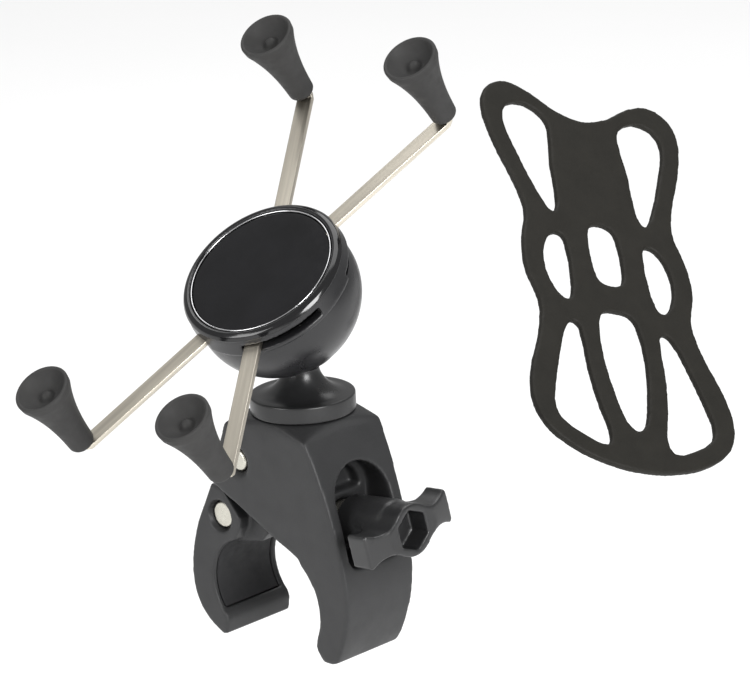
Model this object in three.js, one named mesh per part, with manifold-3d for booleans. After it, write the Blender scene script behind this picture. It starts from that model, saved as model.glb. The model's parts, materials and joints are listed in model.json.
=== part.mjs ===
// Phone handlebar mount: a screw-driven two-jaw bar clamp, a ball joint on its top, a round hub with
// four spring-closed gripping arms that carry rubber tips, and the flat rubber tether that comes with it.
// Millimetres. Origin on the clamped bar's axis, +Y along the bar, +Z up the ball stud, +X to the knob.
import * as THREE from 'three';
import { mergeVertices } from 'three/addons/utils/BufferGeometryUtils.js';
import { ConvexGeometry } from 'three/addons/geometries/ConvexGeometry.js';
import Module from 'manifold-3d';

const wasm = await Module();
wasm.setup();

// ---------------------------------------------------------------- driving dimensions
const GAP = 0.3;                                 // clearance between pieces that touch

// clamp body, side profile in the XZ plane
const SHOULDER_Z = 51;                           // top edge of the side walls
const SHOULDER_BACK_X = -14.9;
const SHOULDER_FRONT_X = 17.5;
const BODY_HALF_TOP = 15.3;                      // half width at the shoulder
const BODY_HALF_TIP = 12.45;                     // half width at the jaw tip
const TIP_Z = -14.9;
const GRIP_R = 17.4;                             // fixed jaw's inner radius, about the origin
const UNDERSIDE_BACK = [-22.6, 31.3];            // ends of the slanted underside
const UNDERSIDE_FRONT = [10.6, 14.9];
const POCKET_HALF = 9.3;                         // half width of the hollow for the lever
const POCKET_TOP = 47;
const POCKET_FRONT_X = 8.5;
const SLOT_HALF = 10.25;                         // front slot that the knob barrel works in
const SLOT_TOP = 42.5;
const SLOT_BOTTOM = 14.5;
const SLOT_FLOOR_X = 15.5;
const SLOT_STEP = 2.6;                           // margin of the deeper recess above the screw seat
const SLOT_DEEP_X = 11.5;

// moving jaw
const PIVOT = [-11.3, 40];                       // jaw pivot pin, X and Z
const PIVOT_R = 3.2;
const NUT = [-22, 20.6];                         // barrel nut, X and Z
const NUT_R = 3.95;
const JAW_HALF = 12.7;
const LEVER_HALF = 8.7;
const LEVER_R = 5.8;
const JAW_GRIP = [-11.7, 0.8];                   // moving jaw's inner arc
const JAW_GRIP_R = 14.4;
const PAD_HALF = 10.6;
const PAD_THICK = 1.3;

// clamp screw and knob: the axis runs from the barrel nut to the knob's hex socket
const SOCKET = [43.9, 27.2];                     // hex socket mouth, X and Z
const AXIS_TILT = Math.atan2(SOCKET[1] - NUT[1], SOCKET[0] - NUT[0]);
const SEAT_X = 17.5;                             // centre of the swivel seat
const ROD_R = 2.4;
const ROD_PAST_NUT = 4.8;
const SEAT_R = 6;
const BARREL_R = 8;
const WING_HALF = 16.8;
const WING_END = 5.2;                            // half height of the wing ends
const WING_WAIST = 3.5;
const WING_BOSS = 7.6;                           // radius round the hex socket
const WING_DEPTH = 9;
const WING_TURN = 8.6;                           // degrees
const HEX_FLATS = 10.4;
const HEX_DEPTH = 6.5;
const NUT_FLATS = 8;

// ball stud
const STUD_X = 2.2;
const COLLAR_Z = 54.6;
const COLLAR_TOP = 59.5;
const COLLAR_R = 15;
const NECK_R = 5.1;
const BALL_Z = 78.9;
const BALL_R = 12.7;
const BALL_SKIN = 1.0;

// hub, in its own frame: origin at the ball centre, +Z out of the face, +Y along the long side
const HUB_AZIMUTH = 4.7;                         // degrees
const HUB_TILT = 35.9;
const HUB_SPIN = 1.3;
const DOME_R = 23.9;
const DOME_CENTRE = 13.8;
const DOME_SQUASH = 0.912;                       // height of the dome's ellipse against its radius
const MOUTH_ANGLE = 105;                         // degrees from the face axis, seen from the ball centre
const CUP_SPACE_R = 16.3;
const PARTING = 19.2;
const COVER_R = 25;
const COVER_TOP = 25.2;
const LABEL_R = 20.8;
const RING_R = 21.5;
const POST_X = 19.5;                             // cover screws
const POST_R = 3.2;

// gripping arms
const ARM_ANGLE = 22.1;                          // from the long axis, arms closed
const ARM_REACH = 65;                            // hub centre to the bend
const ARM_WIDTH = 4.8;
const ARM_THICK = 1.5;
const ARM_UPPER = 21.9;                          // height of each strip's mid plane
const ARM_LOWER = 20.1;
const ARM_LEAN = 9;                              // degrees, outward lean of the bent ends
const STEM = 15;
const TIP_LENGTH = 24.6;
const TIP_HEAD_R = 8.2;
const TIP_BASE_R = 3.8;

// tether, in its own frame: origin at the dip between the ears, +X across, -Y down its length
const TETHER_AT = [-44.3, 170, 93.3];
const TETHER_THICK = 2.4;

// ---------------------------------------------------------------- helpers
const deg = THREE.MathUtils.degToRad;
const X_AXIS = new THREE.Vector3(1, 0, 0);
const Y_AXIS = new THREE.Vector3(0, 1, 0);
const Z_AXIS = new THREE.Vector3(0, 0, 1);

// A product of turns, each an axis and degrees, the first one outermost.
function turns(...steps) {
  const q = new THREE.Quaternion();
  for (const [axis, angle] of steps) q.multiply(new THREE.Quaternion().setFromAxisAngle(axis, deg(angle)));
  return q;
}

// A manifold solid from a closed three.js geometry.
function solid(geometry) {
  const g = geometry.clone();
  g.deleteAttribute('normal');
  g.deleteAttribute('uv');
  const m = mergeVertices(g, 1e-4);
  const mesh = new wasm.Mesh({
    numProp: 3,
    vertProperties: new Float32Array(m.attributes.position.array),
    triVerts: new Uint32Array(m.index.array),
  });
  return new wasm.Manifold(mesh);
}

// A three.js geometry from a manifold solid, flat shaded.
function geometryOf(manifold) {
  const mesh = manifold.getMesh();
  const g = new THREE.BufferGeometry();
  g.setAttribute('position', new THREE.BufferAttribute(new Float32Array(mesh.vertProperties), 3));
  g.setIndex(new THREE.BufferAttribute(new Uint32Array(mesh.triVerts), 1));
  g.computeVertexNormals();
  return g;
}

// A shape drawn in X and Z, carried along Y from y0 to y1.
function alongY(shape, y0, y1, segments = 16) {
  const g = new THREE.ExtrudeGeometry(shape, { depth: y1 - y0, bevelEnabled: false, curveSegments: segments });
  return solid(g.rotateX(Math.PI / 2).translate(0, y1, 0));
}

// A shape drawn in Y and Z, carried along X from x0 to x1.
function alongX(shape, x0, x1, segments = 16) {
  const g = new THREE.ExtrudeGeometry(shape, { depth: x1 - x0, bevelEnabled: false, curveSegments: segments });
  return solid(g.rotateX(Math.PI / 2).rotateZ(Math.PI / 2).translate(x0, 0, 0));
}

// A shape drawn in X and Y, carried along Z from z0 to z1.
function alongZ(shape, z0, z1, segments = 16) {
  const g = new THREE.ExtrudeGeometry(shape, { depth: z1 - z0, bevelEnabled: false, curveSegments: segments });
  return solid(g.translate(0, 0, z0));
}

// A profile of radius and height points, turned about Z.
function turned(points, segments = 40) {
  const profile = points.map(([r, z]) => new THREE.Vector2(r, z));
  return solid(new THREE.LatheGeometry(profile, segments).rotateX(Math.PI / 2));
}

function polygon(points) {
  return new THREE.Shape(points.map(([a, b]) => new THREE.Vector2(a, b)));
}

function disc(x, y, r) {
  const s = new THREE.Shape();
  s.absarc(x, y, r, 0, 2 * Math.PI, false);
  return s;
}

// Points of an arc in degrees, for profiles.
function arc(cx, cy, r, from, to, steps) {
  const points = [];
  for (let i = 0; i <= steps; i += 1) {
    const a = deg(from + ((to - from) * i) / steps);
    points.push([cx + r * Math.cos(a), cy + r * Math.sin(a)]);
  }
  return points;
}

// A stadium: the outline round two circles with centres a and b.
function capsule(a, b, r) {
  const along = (Math.atan2(b[1] - a[1], b[0] - a[0]) * 180) / Math.PI;
  return polygon([...arc(a[0], a[1], r, along + 90, along + 270, 12), ...arc(b[0], b[1], r, along - 90, along + 90, 12)]);
}

function moved(manifold, x, y, z) {
  return manifold.translate([x, y, z]);
}

// A cylinder along Y through the point (x, z).
function pinAlongY(x, z, r, y0, y1, segments = 12) {
  return alongY(disc(x, z, r), y0, y1, segments);
}

// ---------------------------------------------------------------- materials
const finishes = {
  bodyPlastic: { color: 0x4f5052, roughness: 0.62, metalness: 0 },
  padRubber: { color: 0x3a3b3d, roughness: 0.85, metalness: 0 },
  ballRubber: { color: 0x2a2b2d, roughness: 0.7, metalness: 0 },
  hubPlastic: { color: 0x17181a, roughness: 0.35, metalness: 0 },
  labelGloss: { color: 0x08080a, roughness: 0.12, metalness: 0 },
  ringSilver: { color: 0xb4b6b9, roughness: 0.3, metalness: 1 },
  stainless: { color: 0xa59f90, roughness: 0.35, metalness: 1 },
  nickel: { color: 0xc8c5bc, roughness: 0.25, metalness: 1 },
  tipRubber: { color: 0x4c4d4f, roughness: 0.8, metalness: 0 },
  tetherRubber: { color: 0x2b2926, roughness: 0.75, metalness: 0 },
};

function part(name, manifold, finish) {
  const mesh = new THREE.Mesh(geometryOf(manifold), new THREE.MeshStandardMaterial(finishes[finish]));
  mesh.name = name;
  return mesh;
}

// ---------------------------------------------------------------- clamp body
function bodyOutline() {
  const s = new THREE.Shape();
  s.moveTo(SHOULDER_BACK_X, SHOULDER_Z);
  s.lineTo(SHOULDER_FRONT_X, SHOULDER_Z);
  s.bezierCurveTo(21, 44, 27, 30, 29.5, 11);
  s.bezierCurveTo(30.5, 3, 27, -8, 23, -14);
  s.lineTo(20.9, TIP_Z);
  s.lineTo(17.6, TIP_Z);
  s.quadraticCurveTo(15.8, -13.6, 15, -10.4);
  s.absarc(0, 0, GRIP_R, deg(-26), deg(49), false);
  s.lineTo(...UNDERSIDE_FRONT);
  s.lineTo(...UNDERSIDE_BACK);
  s.lineTo(-23.4, 32);
  s.lineTo(SHOULDER_BACK_X, SHOULDER_Z);
  return s;
}

// Side view of the tapering width, as a shape in Y and Z.
function taperOutline() {
  return polygon([
    [-BODY_HALF_TIP, TIP_Z - 1],
    [BODY_HALF_TIP, TIP_Z - 1],
    [BODY_HALF_TOP, SHOULDER_Z + 1],
    [-BODY_HALF_TOP, SHOULDER_Z + 1],
  ]);
}

// The shoulder blends the rectangular top edge of the body into the round collar.
function shoulder() {
  const points = [];
  for (const x of [SHOULDER_BACK_X, SHOULDER_FRONT_X]) {
    for (const y of [-BODY_HALF_TOP, BODY_HALF_TOP]) {
      points.push(new THREE.Vector3(x, y * 0.995, SHOULDER_Z - 0.01));
    }
  }
  for (const [x, y] of arc(STUD_X, 0, COLLAR_R, 0, 350, 35)) points.push(new THREE.Vector3(x, y, COLLAR_Z - GAP));
  return solid(new ConvexGeometry(points));
}

// The hollow that the lever and the screw work in, open at the underside and low at the back.
function leverPocket() {
  return alongY(polygon([
    [-32, 4],
    [-32, 36.2],
    [-20, 37.4],
    [-17.2, 43.6],
    [-13.8, POCKET_TOP],
    [6.3, POCKET_TOP],
    [POCKET_FRONT_X, POCKET_TOP - 2.4],
    [POCKET_FRONT_X, 4],
  ]), -POCKET_HALF, POCKET_HALF);
}

function frontSlot() {
  const r = SLOT_HALF;
  const corner = 4;
  const s = new THREE.Shape();
  s.moveTo(-r + corner, SLOT_BOTTOM);
  s.lineTo(r - corner, SLOT_BOTTOM);
  s.quadraticCurveTo(r, SLOT_BOTTOM, r, SLOT_BOTTOM + corner);
  s.lineTo(r, SLOT_TOP - r);
  s.absarc(0, SLOT_TOP - r, r, 0, Math.PI, false);
  s.lineTo(-r, SLOT_BOTTOM + corner);
  s.quadraticCurveTo(-r, SLOT_BOTTOM, -r + corner, SLOT_BOTTOM);
  return alongX(s, SLOT_FLOOR_X, 40, 14);
}

// Deeper recess in the slot's floor, above the screw seat.
function seatRecess() {
  const r = SLOT_HALF - SLOT_STEP;
  const top = SLOT_TOP - SLOT_HALF;
  const s = new THREE.Shape();
  s.moveTo(-r, top + 0.4);
  s.lineTo(r, top + 0.4);
  s.absarc(0, top + 0.4, r, 0, Math.PI, false);
  return alongX(s, SLOT_DEEP_X, SLOT_FLOOR_X + 1, 12);
}

// A round bar of radius r on the screw axis, between two distances from the swivel seat.
function onScrewAxis(profile, segments = 28, extraTilt = 0) {
  const m = turned(profile, segments);
  const tilt = 90 - (AXIS_TILT * 180) / Math.PI - extraTilt;
  return moved(m.rotate([0, tilt, 0]), SEAT_X, 0, SEAT_Z);
}

const SEAT_Z = NUT[1] + (SEAT_X - NUT[0]) * Math.tan(AXIS_TILT);
const ROD_SPAN = Math.hypot(SEAT_X - NUT[0], SEAT_Z - NUT[1]);
const SOCKET_AT = Math.hypot(SOCKET[0] - SEAT_X, SOCKET[1] - SEAT_Z);

function clampBody() {
  const taper = alongX(taperOutline(), -40, 40);
  let body = alongY(bodyOutline(), -17, 17, 14).intersect(taper).add(shoulder());
  body = body.subtract(leverPocket()).subtract(frontSlot()).subtract(seatRecess());
  body = body.subtract(pinAlongY(PIVOT[0], PIVOT[1], PIVOT_R + GAP, -20, 20, 14));
  for (const side of [-1, 1]) {
    const y0 = side < 0 ? -20 : 13.7;
    body = body.subtract(pinAlongY(PIVOT[0], PIVOT[1], 4.6, y0, y0 + 6.3, 16));
  }
  body = body.subtract(onScrewAxis([[0, -16], [4.2, -16], [4.2, 0], [0, 0]], 24, 3.2));
  body = body.subtract(moved(solid(new THREE.SphereGeometry(SEAT_R + GAP, 20, 12)), SEAT_X, 0, SEAT_Z));
  body = body.subtract(moved(turned([[0, 40], [2.9, 40], [2.9, 60], [0, 60]], 20), STUD_X, 0, 0));
  return body.subtract(gripRecess(0, 0, GRIP_R, -20, 43));
}

// The shallow trough behind a jaw pad.
function gripRecess(cx, cz, r, from, to) {
  const outer = arc(cx, cz, r + PAD_THICK + GAP, from, to, 14);
  const inner = arc(cx, cz, r - 2, to, from, 14);
  return alongY(polygon([...outer, ...inner]), -PAD_HALF - GAP, PAD_HALF + GAP);
}

function jawPad(cx, cz, r, from, to) {
  const margin = (GAP / r) * (180 / Math.PI);
  const outer = arc(cx, cz, r + PAD_THICK, from + margin, to - margin, 14);
  const inner = arc(cx, cz, r + 0.45, to - margin, from + margin, 14);
  return alongY(polygon([...outer, ...inner]), -PAD_HALF, PAD_HALF);
}

function pivotPin() {
  return pinAlongY(PIVOT[0], PIVOT[1], PIVOT_R, -13.9, 13.9, 14);
}

// ---------------------------------------------------------------- moving jaw
function jawOutline() {
  const s = new THREE.Shape();
  s.moveTo(-24.7, 30.1);
  s.lineTo(-31.4, 16.8);
  s.bezierCurveTo(-36, 5, -37.5, -7.4, -27.4, -13.8);
  s.lineTo(-23.4, -15.9);
  s.lineTo(-21.8, -15.6);
  s.lineTo(-21.1, -11.4);
  s.absarc(JAW_GRIP[0], JAW_GRIP[1], JAW_GRIP_R, deg(226), deg(108), true);
  s.lineTo(-13.7, 18.4);
  s.lineTo(-13.3, 21.2);
  s.lineTo(-20, 29.1);
  s.lineTo(-24.7, 30.1);
  return s;
}

// The narrower web that closes the corner between the boss and the lever, above the pad.
function jawWeb() {
  return alongY(polygon([[-20, 12], [-9, 14.6], [-6.4, 17.4], [-5, 23], [-10, 34], [-18, 27]]), -LEVER_HALF, LEVER_HALF);
}

// The screw passes the jaw in a slot that flares as the jaw swings about the barrel nut.
function screwPassage() {
  const reach = 24;
  const half = 3.1;
  const [x, z] = NUT;
  const up = AXIS_TILT + deg(2);
  const down = AXIS_TILT - deg(19.5);
  const corner = (angle, side) => [
    x + reach * Math.cos(angle) - side * half * Math.sin(angle),
    z + reach * Math.sin(angle) + side * half * Math.cos(angle),
  ];
  const points = [corner(up, 1), corner(down + Math.PI, -1), corner(up + Math.PI, 1), corner(down, -1)];
  return alongY(polygon(points), -half, half);
}

function movingJaw() {
  const [x, z] = NUT;
  let jaw = alongY(jawOutline(), -JAW_HALF, JAW_HALF, 14);
  jaw = jaw.add(alongY(capsule(PIVOT, NUT, LEVER_R), -LEVER_HALF, LEVER_HALF)).add(jawWeb());
  jaw = jaw.subtract(pinAlongY(PIVOT[0], PIVOT[1], PIVOT_R + 0.35, -10, 10, 14));
  jaw = jaw.subtract(pinAlongY(x, z, NUT_R + 0.3, -14, 14, 16));
  jaw = jaw.subtract(pinAlongY(x, z, 4.75, -14, -11.4, 16)).subtract(pinAlongY(x, z, 4.75, 11.4, 14, 16));
  jaw = jaw.subtract(screwPassage());
  return jaw.subtract(gripRecess(JAW_GRIP[0], JAW_GRIP[1], JAW_GRIP_R, 122, 218));
}

// ---------------------------------------------------------------- screw and knob
function barrelNut() {
  const [x, z] = NUT;
  const bore = onScrewAxis([[0, -60], [ROD_R + 0.32, -60], [ROD_R + 0.32, -20], [0, -20]], 20);
  return pinAlongY(x, z, NUT_R, -11.2, 11.2, 14).subtract(bore);
}

function screwRod() {
  const end = -ROD_SPAN - ROD_PAST_NUT;
  const groove = -11.6;
  return onScrewAxis([
    [0, end], [ROD_R - 0.6, end], [ROD_R, end + 0.8],
    [ROD_R, groove - 1], [1.8, groove - 1], [1.8, groove + 0.6], [ROD_R, groove + 0.6],
    [ROD_R, SOCKET_AT - HEX_DEPTH - 1.8], [0, SOCKET_AT - HEX_DEPTH - 1.8],
  ], 20);
}

function retainingClip() {
  const groove = -11.6;
  return onScrewAxis([[2.1, groove - 0.7], [4.6, groove - 0.7], [4.6, groove + 0.3], [2.1, groove + 0.3], [2.1, groove - 0.7]], 24);
}

function swivelSeat() {
  const bore = ROD_R + 0.3;
  const flat = 1.2;
  const low = -Math.sqrt(SEAT_R ** 2 - bore ** 2);
  const start = (Math.atan2(low, bore) * 180) / Math.PI;
  const end = (Math.asin(flat / SEAT_R) * 180) / Math.PI;
  return onScrewAxis([[bore, flat], ...arc(0, 0, SEAT_R, start, end, 5), [bore, flat]], 20);
}

function thrustWasher() {
  const b = ROD_R + 0.3;
  return onScrewAxis([[b, 1.5], [6.6, 1.5], [6.6, 2.5], [b, 2.5], [b, 1.5]], 28);
}

// The wing's outline seen along the screw: a round boss that runs in hollow curves into two flared ends.
function wingOutline() {
  const s = new THREE.Shape();
  const half = (sign) => {
    const x = (value) => sign * value;
    s.bezierCurveTo(x(4.8), x(WING_BOSS), x(6), x(WING_WAIST), x(10.2), x(WING_WAIST));
    s.quadraticCurveTo(x(13.4), x(WING_WAIST), x(WING_HALF - 0.8), x(WING_END));
    s.lineTo(x(WING_HALF), x(WING_END - 0.8));
    s.lineTo(x(WING_HALF), x(0.8 - WING_END));
    s.lineTo(x(WING_HALF - 0.8), x(-WING_END));
    s.quadraticCurveTo(x(13.4), x(-WING_WAIST), x(10.2), x(-WING_WAIST));
    s.bezierCurveTo(x(6), x(-WING_WAIST), x(4.8), x(-WING_BOSS), 0, x(-WING_BOSS));
  };
  s.moveTo(0, WING_BOSS);
  half(1);
  half(-1);
  return s;
}

function hexagon(flats) {
  const r = flats / Math.sqrt(3);
  return polygon(arc(0, 0, r, 0, 300, 5));
}

// Wing, barrel and hex socket, built along the screw axis; the wing lies along Y.
function knob() {
  const back = SOCKET_AT - WING_DEPTH;
  let k = alongZ(wingOutline(), back, SOCKET_AT, 10).rotate([0, 0, 90]);
  const dome = turned([[0, 0], [WING_HALF + 2, 0], [WING_HALF + 1.2, SOCKET_AT - 2.2], [9, SOCKET_AT], [0, SOCKET_AT]], 48);
  k = k.intersect(dome);
  k = k.add(turned([[0, 2.8], [BARREL_R - 0.7, 2.8], [BARREL_R - 0.3, 3.3], [BARREL_R, back + 2], [0, back + 2]], 36));
  const flare = turned([[0, back - 6], [BARREL_R, back - 6], [8.7, back - 3], [10.2, back - 1], [13, back + 1], [0, back + 1]], 36);
  k = k.add(flare.intersect(alongZ(wingOutline(), back - 7, back + 2, 10).rotate([0, 0, 90])));
  k = k.subtract(alongZ(hexagon(HEX_FLATS), SOCKET_AT - HEX_DEPTH, SOCKET_AT + 1));
  const boreEnd = SOCKET_AT - HEX_DEPTH - 1.5;
  k = k.subtract(turned([[0, 0], [ROD_R + GAP, 0], [ROD_R + GAP, boreEnd], [0, boreEnd]], 20));
  k = k.subtract(alongZ(hexagon(NUT_FLATS + 2 * GAP), 0, 7.2));
  k = k.rotate([0, 0, WING_TURN]);
  return moved(k.rotate([0, 90 - (AXIS_TILT * 180) / Math.PI, 0]), SEAT_X, 0, SEAT_Z);
}

// Hex nut trapped in the barrel's end, which ties the screw to the knob.
function trappedNut() {
  const bore = turned([[0, 0], [ROD_R + 0.25, 0], [ROD_R + 0.25, 9], [0, 9]], 20);
  const nut = alongZ(hexagon(NUT_FLATS), 3, 6.9).subtract(bore).rotate([0, 0, WING_TURN]);
  return moved(nut.rotate([0, 90 - (AXIS_TILT * 180) / Math.PI, 0]), SEAT_X, 0, SEAT_Z);
}

// ---------------------------------------------------------------- ball stud
function ballBase() {
  const coreR = BALL_R - BALL_SKIN - GAP;
  const neckAngle = (Math.asin(NECK_R / coreR) * 180) / Math.PI;
  const profile = [
    [0, COLLAR_Z], [COLLAR_R - 0.6, COLLAR_Z], [COLLAR_R, COLLAR_Z + 0.6],
    [COLLAR_R, COLLAR_TOP - 0.5], [COLLAR_R - 0.5, COLLAR_TOP],
    [13.2, COLLAR_TOP + 0.1], [9.6, 60.9], [7, 63], [5.6, 65.4], [NECK_R, 67],
    ...arc(0, BALL_Z, coreR, -90 + neckAngle, 90, 6),
  ];
  profile[profile.length - 1][0] = 0;
  const screwHole = turned([[0, 50], [2.7, 50], [2.7, 67.5], [0, 67.5]], 12);
  return moved(turned(profile, 28).subtract(screwHole), STUD_X, 0, 0);
}

function ballCover() {
  const inner = BALL_R - BALL_SKIN;
  const openOuter = (Math.asin((NECK_R + 0.5) / BALL_R) * 180) / Math.PI;
  const openInner = (Math.asin((NECK_R + 0.5) / inner) * 180) / Math.PI;
  const profile = [
    ...arc(0, 0, BALL_R, -90 + openOuter, 90, 8),
    ...arc(0, 0, inner, 90, -90 + openInner, 8),
  ];
  profile[8][0] = 0;
  profile[9][0] = 0;
  return moved(turned([...profile, profile[0]], 26), STUD_X, 0, BALL_Z);
}

function studScrew() {
  const profile = [[0, 43.6], [4.3, 43.6], [4.6, 44], [4.6, 46.6], [2.4, 46.6], [2.4, 66.8], [0, 66.8]];
  const screw = turned(profile, 24).subtract(alongZ(hexagon(5), 43, 45.6));
  return moved(screw, STUD_X, 0, 0);
}

// ---------------------------------------------------------------- hub, in the hub frame
function cupShell(inner, outer, reach) {
  const points = [...arc(0, 0, outer, 90 - reach, 90, 5), ...arc(0, 0, inner, 90, 90 - reach, 5)];
  points[5][0] = 0;
  points[6][0] = 0;
  return turned([...points, points[0]], 20);
}

// Spherical housing with the ball socket below and the chamber for the arms above.
function hubDome() {
  const mouth = MOUTH_ANGLE - 90;
  const land = BALL_R + 0.35;
  const lip = 13.9;
  const lipZ = -land * Math.sin(deg(mouth));
  const angleAt = (z) => (Math.asin((z - DOME_CENTRE) / (DOME_R * DOME_SQUASH)) * 180) / Math.PI;
  const outer = arc(0, 0, DOME_R, angleAt(lipZ), angleAt(PARTING - 0.3), 8)
    .map(([r, z]) => [r, DOME_CENTRE + z * DOME_SQUASH]);
  const socket = [...arc(0, 0, CUP_SPACE_R, 90, 26, 6), ...arc(0, 0, land, 18, -mouth, 3)];
  socket[0][0] = 0;
  let dome = turned([[lip, lipZ], ...outer, [0, PARTING - 0.3], ...socket, [lip, lipZ]], 36);
  const chamber = [[0, 17.3], [10.5, 17.3], [10.5, PARTING + 1], [0, PARTING + 1]];
  dome = dome.subtract(turned(chamber, 28));
  for (const side of [-1, 1]) {
    dome = dome.subtract(moved(turned([[0, 10], [1.5, 10], [1.5, 30], [0, 30]], 16), side * POST_X, 0, 0));
  }
  return dome;
}

// A wedge from the hub axis between two angles, for the arm windows.
function window(from, to, z0, z1) {
  return alongZ(polygon([[0, 0], ...arc(0, 0, 32, from, to, 8)]), z0, z1);
}

function hubCover() {
  const shell = [
    [0, COVER_TOP - 2.2], [LABEL_R + 0.3, COVER_TOP - 2.2], [LABEL_R + 0.3, COVER_TOP - 1],
    [RING_R + 0.3, COVER_TOP - 1], [RING_R + 0.3, COVER_TOP],
    [22.4, COVER_TOP], [23.6, COVER_TOP - 0.6], [24.3, COVER_TOP - 1.7], [COVER_R, PARTING + 0.6],
    [COVER_R - 0.4, PARTING], [0, PARTING],
  ];
  let cover = turned(shell.reverse(), 40);
  const chamber = turned([[0, 0], [22, 0], [22, ARM_UPPER + 1.1], [0, ARM_UPPER + 1.1]], 32);
  const keep = [];
  for (const side of [-1, 1]) {
    const a = side < 0 ? 180 : 0;
    keep.push(window(a - 12, a + 12, 0, 30).intersect(turned([[15.5, 0], [25, 0], [25, 30], [15.5, 30], [15.5, 0]], 32)));
  }
  cover = cover.subtract(chamber.subtract(keep[0]).subtract(keep[1]));
  const margin = 7.5;
  const spread = 90 - ARM_ANGLE;
  for (const turn of [0, 180]) {
    const upper = [-spread - margin + turn, -16 + turn];
    const lower = [16 + turn, spread + margin + turn];
    cover = cover.subtract(window(upper[0], upper[1], ARM_UPPER - 1.05, ARM_UPPER + 1.1));
    cover = cover.subtract(window(lower[0], lower[1], ARM_LOWER - 1.05, ARM_LOWER + 1.1));
  }
  for (const side of [-1, 1]) {
    const bore = turned([[0, 10], [1.5, 10], [1.5, 22.8], [0, 22.8]], 16);
    const sink = turned([[0, 21.6], [POST_R, 21.6], [POST_R, 30], [0, 30]], 20);
    cover = cover.subtract(moved(bore, side * POST_X, 0, 0)).subtract(moved(sink, side * POST_X, 0, 0));
  }
  return cover.subtract(turned([[0, 22.5], [3.6, 22.5], [3.6, 30], [0, 30]], 24));
}

function coverScrew(side) {
  const profile = [[0, 12], [1.2, 12], [1.2, 21.9], [2.8, 21.9], [2.8, 22.8], [0, 22.8]];
  return moved(turned(profile, 18), side * POST_X, 0, 0);
}

function faceLabel() {
  return turned([[0, COVER_TOP - 1.9], [LABEL_R, COVER_TOP - 1.9], [LABEL_R, COVER_TOP - 0.35], [0, COVER_TOP - 0.35]], 48);
}

function trimRing() {
  const z0 = COVER_TOP - 0.7;
  const z1 = COVER_TOP - 0.15;
  const r0 = LABEL_R + 0.3;
  return turned([[r0, z0], [RING_R, z0], [RING_R, z1], [r0, z1], [r0, z0]], 48);
}

function armPivot() {
  return turned([[0, 17.6], [4.4, 17.6], [4.4, 18.3], [2.6, 18.3], [2.6, 22.9], [0, 22.9]], 24);
}

// Close-wound torsion spring round the rivet, its two coils drawn as ribs.
function armSpring() {
  const inner = 7.3;
  const crest = 7.92;
  const root = 7.7;
  return turned([
    [inner + 0.1, 17.55], [crest - 0.15, 17.55], [crest, 17.7], [crest, 18.05], [root, 18.22],
    [crest, 18.4], [crest, 18.75], [crest - 0.15, 18.9], [inner + 0.1, 18.9],
    [inner, 18.75], [inner, 17.7], [inner + 0.1, 17.55],
  ], 28);
}

// Side outline of half a strip with its bent end, lying along +X and grown by a margin all round.
function stripOutline(height, grow) {
  const t = ARM_THICK / 2 + grow;
  const lean = deg(ARM_LEAN);
  const rise = [Math.sin(lean), Math.cos(lean)];
  const top = [ARM_REACH + (STEM + grow) * rise[0], height + (STEM + grow) * rise[1]];
  return [
    [0, height - t], [ARM_REACH - 1, height - t],
    [ARM_REACH + t * rise[1] - 0.2, height + 0.4],
    [top[0] + t * rise[1], top[1] - t * rise[0]], [top[0] - t * rise[1], top[1] + t * rise[0]],
    [ARM_REACH - t + 0.25, height + t + 0.8], [ARM_REACH - t - 0.6, height + t], [0, height + t],
  ];
}

// One flat strip through the hub with both ends bent up.
function armStrip(height, angle) {
  const t = ARM_THICK / 2;
  const half = ARM_WIDTH / 2;
  const arm = alongY(polygon(stripOutline(height, 0)), -half, half);
  const eye = turned([[0, height - t], [5.4, height - t], [5.4, height + t], [0, height + t]], 28);
  const bore = turned([[0, 0], [2.95, 0], [2.95, 40], [0, 40]], 24);
  return arm.add(arm.rotate([0, 0, 180])).add(eye).subtract(bore).rotate([0, 0, angle]);
}

// Rubber tip: a rounded foot, a flare to the head and a shallow dish in its face.
function gripTip(height, angle) {
  const foot = -0.9;
  const profile = [
    [0, foot], [2.2, foot + 0.15], [TIP_BASE_R - 0.3, foot + 1.2], [TIP_BASE_R, foot + 2.8],
    [4.1, 5], [4.6, 10], [5.9, 15.6], [7.4, 19.6], [TIP_HEAD_R, 22.2],
    [TIP_HEAD_R, 23.4], [TIP_HEAD_R - 0.5, 24.2], [7, TIP_LENGTH], [5.8, 24.2], [0, 23.4],
  ];
  const half = ARM_WIDTH / 2 + GAP;
  const tip = turned(profile, 18).rotate([0, ARM_LEAN, 0]).translate([ARM_REACH, 0, height]);
  return tip.subtract(alongY(polygon(stripOutline(height, GAP)), -half, half)).rotate([0, 0, angle]);
}

// ---------------------------------------------------------------- tether, in its own frame
// Both halves of a closed outline from the points of its right half, top to bottom.
function mirrored(points) {
  const right = points.map(([x, y]) => new THREE.Vector2(x, -y));
  const left = [...right].reverse().filter((p) => p.x > 0.01).map((p) => new THREE.Vector2(-p.x, p.y));
  return [...right, ...left];
}

function smoothLoop(points, divisions) {
  const curve = new THREE.CatmullRomCurve3(points.map((p) => new THREE.Vector3(p.x, p.y, 0)), true, 'centripetal');
  return curve.getPoints(divisions).slice(0, -1).map((p) => new THREE.Vector2(p.x, p.y));
}

function loopOf(points, side, divisions = 20) {
  return new THREE.Path(smoothLoop(points.map(([x, y]) => new THREE.Vector2(side * x, -y)), divisions));
}

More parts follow.
